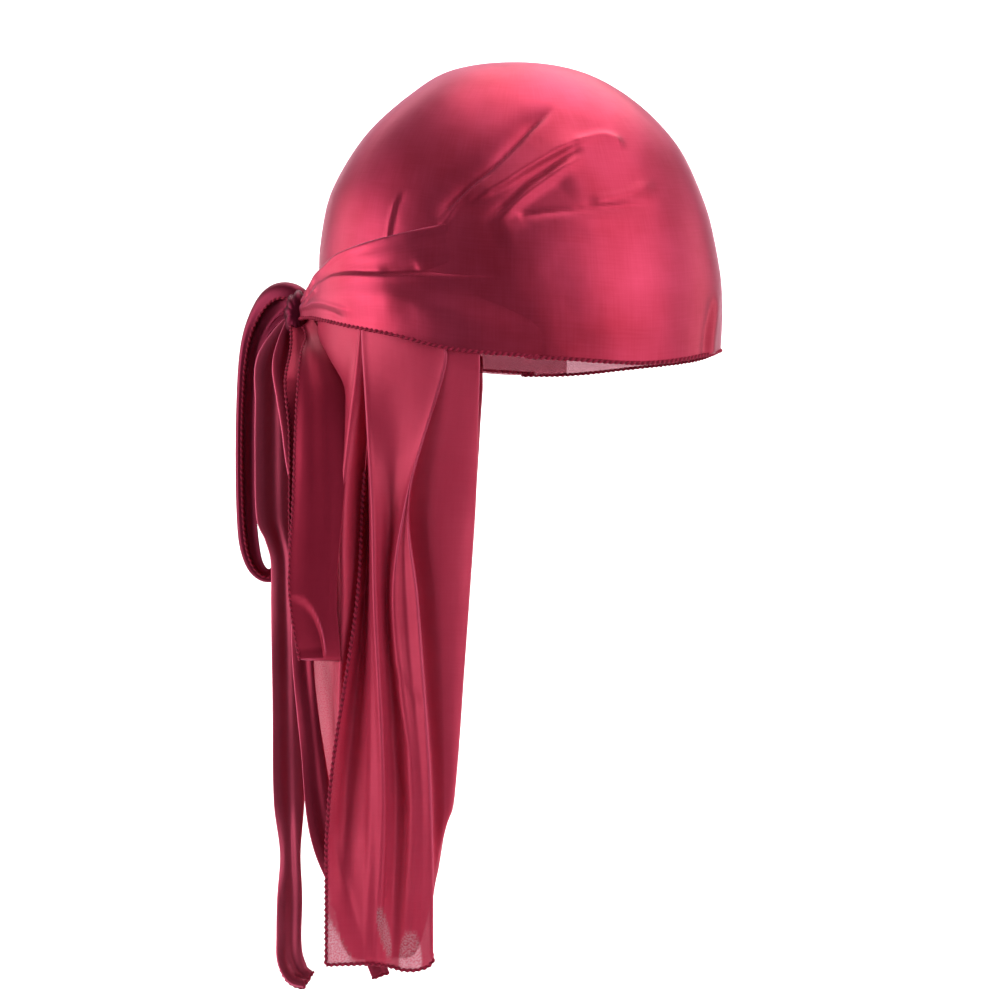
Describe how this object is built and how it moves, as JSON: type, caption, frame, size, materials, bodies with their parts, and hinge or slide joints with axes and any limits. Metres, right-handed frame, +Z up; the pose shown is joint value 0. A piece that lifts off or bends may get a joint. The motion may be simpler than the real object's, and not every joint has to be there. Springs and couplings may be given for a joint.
{
  "type": "durag",
  "caption": "Silky cloth head wrap: a close crown with a long pleated tail at the nape and two straps that wrap round the back and tie there in a soft bow.",
  "frame": {"origin": "the middle of the crown's mouth at the level of its hem, where a head holds it", "axes": "+Z is up through the crown's top, -Y is the way the wearer faces, -X is the wearer's right side"},
  "size_m": [0.164, 0.2463, 0.4637],
  "materials": {
    "satin": "silky woven polyester satin with an overlocked edge"
  },
  "bodies": {
    "root": {"crown": "satin", "tail": "satin", "strap_wrap_right": "satin", "strap_wrap_left": "satin", "knot": "satin", "bow_loop_right": "satin", "bow_loop_left": "satin", "strap_end_right": "satin", "strap_end_left": "satin"}
  },
  "joints": []
}
